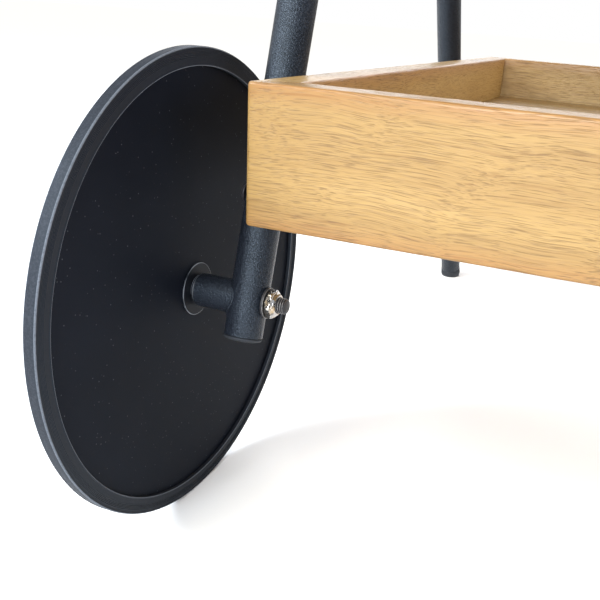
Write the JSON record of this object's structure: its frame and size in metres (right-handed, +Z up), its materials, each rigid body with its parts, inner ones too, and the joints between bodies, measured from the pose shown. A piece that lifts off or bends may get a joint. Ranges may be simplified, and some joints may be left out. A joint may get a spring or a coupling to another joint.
{
  "type": "bar cart",
  "caption": "Bar cart with stacked slatted wooden trays between A-shaped bent tube frames, a wooden top grip, large disc wheels at one end and feet at the other.",
  "frame": {"origin": "on the ground under the centre of the cart's bounding box", "axes": "+Z up, +X across the cart along the wheels' axle, +Y along the cart from the wheel end to the foot end"},
  "size_m": [0.5368, 0.758, 0.7067],
  "materials": {
    "powder_black": "fine-textured black powder coat",
    "disc_black": "flat matt black paint with a faint speckle",
    "tyre_rubber": "smooth moulded rubber, fine circular ribs on the sides",
    "foot_rubber": "plain black rubber",
    "plastic_black": "moulded matt plastic",
    "bolt_black": "blackened steel",
    "nut_chrome": "bright plated",
    "spacer_zinc": "zinc plated",
    "insert_brass": "machined",
    "acacia": "oiled honey-coloured acacia with wavy grain"
  },
  "bodies": {
    "frame": {"axle_bolt_left": "bolt_black", "axle_bolt_right": "bolt_black", "axle_nut_left": "nut_chrome", "axle_nut_right": "nut_chrome", "axle_spacer_left": "spacer_zinc", "axle_spacer_right": "spacer_zinc", "axle_stub_left": "powder_black", "axle_stub_right": "powder_black", "axle_washer_left": "bolt_black", "axle_washer_right": "bolt_black", "foot_left": "foot_rubber", "foot_right": "foot_rubber", "grip_bar": "acacia", "grip_bolt_left": "bolt_black", "grip_bolt_right": "bolt_black", "grip_insert_left": "insert_brass", "grip_insert_right": "insert_brass", "leg_plug_left": "plastic_black", "leg_plug_right": "plastic_black", "lower_far_board": "acacia", "lower_floor": "acacia", "lower_left_board": "acacia", "lower_leg_bolt_far_left": "bolt_black", "lower_leg_bolt_far_right": "bolt_black", "lower_leg_bolt_near_left": "bolt_black", "lower_leg_bolt_near_right": "bolt_black", "lower_leg_insert_far_left": "insert_brass", "lower_leg_insert_far_right": "insert_brass", "lower_leg_insert_near_left": "insert_brass", "lower_leg_insert_near_right": "insert_brass", "lower_near_board": "acacia", "lower_right_board": "acacia", "side_frame_left": "powder_black", "side_frame_right": "powder_black", "upper_far_board": "acacia", "upper_floor": "acacia", "upper_left_board": "acacia", "upper_leg_bolt_far_left": "bolt_black", "upper_leg_bolt_far_right": "bolt_black", "upper_leg_bolt_near_left": "bolt_black", "upper_leg_bolt_near_right": "bolt_black", "upper_leg_insert_far_left": "insert_brass", "upper_leg_insert_far_right": "insert_brass", "upper_leg_insert_near_left": "insert_brass", "upper_leg_insert_near_right": "insert_brass", "upper_near_board": "acacia", "upper_right_board": "acacia"},
    "wheel_left": {"tyre_left": "tyre_rubber", "wheel_disc_left": "disc_black", "hub_bush_left": "powder_black", "hub_flange_left": "powder_black", "hub_cap_left": "plastic_black"},
    "wheel_right": {"tyre_right": "tyre_rubber", "wheel_disc_right": "disc_black", "hub_bush_right": "powder_black", "hub_flange_right": "powder_black", "hub_cap_right": "plastic_black"}
  },
  "joints": [
    {"name": "wheel_left_spin", "type": "hinge", "parent": "frame", "child": "wheel_left", "pos_m": [-0.2529, -0.229, 0.15], "axis": [1, 0, 0], "continuous": true},
    {"name": "wheel_right_spin", "type": "hinge", "parent": "frame", "child": "wheel_right", "pos_m": [0.2529, -0.229, 0.15], "axis": [1, 0, 0], "continuous": true}
  ]
}
